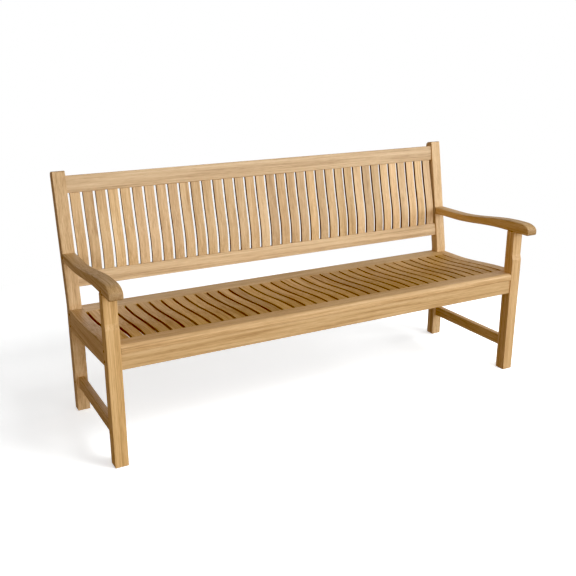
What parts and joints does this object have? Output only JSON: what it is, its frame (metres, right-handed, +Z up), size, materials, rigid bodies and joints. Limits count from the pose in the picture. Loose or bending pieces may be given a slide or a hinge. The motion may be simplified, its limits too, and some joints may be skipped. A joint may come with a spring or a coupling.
{
  "type": "garden bench",
  "caption": "Slatted teak garden bench with arms, a contoured seat and back, and two end frames joined by bolted rails.",
  "frame": {"origin": "on the floor at the middle of the footprint's bounding box", "axes": "+X along the bench to the viewer's right, +Y from the front of the seat to the back, +Z up"},
  "size_m": [1.8, 0.6954, 0.932],
  "materials": {
    "teak_frame": "oiled, sanded smooth",
    "teak_slats": "oiled, sanded smooth",
    "teak_pins": "sanded flush",
    "stainless_steel": "satin"
  },
  "bodies": {
    "root": {"front_leg_left": "teak_frame", "front_leg_right": "teak_frame", "rear_leg_left": "teak_frame", "rear_leg_right": "teak_frame", "arm_left": "teak_frame", "arm_right": "teak_frame", "side_rail_left": "teak_frame", "side_rail_right": "teak_frame", "stretcher_left": "teak_frame", "stretcher_right": "teak_frame", "front_apron": "teak_frame", "seat_front_board": "teak_frame", "rear_apron": "teak_frame", "seat_rear_board": "teak_frame", "lower_back_rail": "teak_frame", "top_back_rail": "teak_frame", "seat_bearer": "teak_frame", "cross_brace_left": "teak_frame", "cross_brace_right": "teak_frame", "joint_pins": "teak_pins", "board_dowels": "teak_pins", "frame_bolts": "stainless_steel", "barrel_nuts": "stainless_steel", "bolt_plugs": "teak_pins", "slat_screws": "stainless_steel", "seat_slats_01": "teak_slats", "seat_slats_02": "teak_slats", "seat_slats_03": "teak_slats", "seat_slats_04": "teak_slats", "seat_slats_05": "teak_slats", "seat_slats_06": "teak_slats", "seat_slats_07": "teak_slats", "seat_slats_08": "teak_slats", "seat_slats_09": "teak_slats", "seat_slats_10": "teak_slats", "seat_slats_11": "teak_slats", "seat_slats_12": "teak_slats", "seat_slats_13": "teak_slats", "seat_slats_14": "teak_slats", "seat_slats_15": "teak_slats", "seat_slats_16": "teak_slats", "seat_slats_17": "teak_slats", "back_slats_01": "teak_slats", "back_slats_02": "teak_slats", "back_slats_03": "teak_slats", "back_slats_04": "teak_slats", "back_slats_05": "teak_slats", "back_slats_06": "teak_slats", "back_slats_07": "teak_slats", "back_slats_08": "teak_slats", "back_slats_09": "teak_slats", "back_slats_10": "teak_slats", "back_slats_11": "teak_slats", "back_slats_12": "teak_slats", "back_slats_13": "teak_slats", "back_slats_14": "teak_slats", "back_slats_15": "teak_slats", "back_slats_16": "teak_slats", "back_slats_17": "teak_slats"}
  },
  "joints": []
}
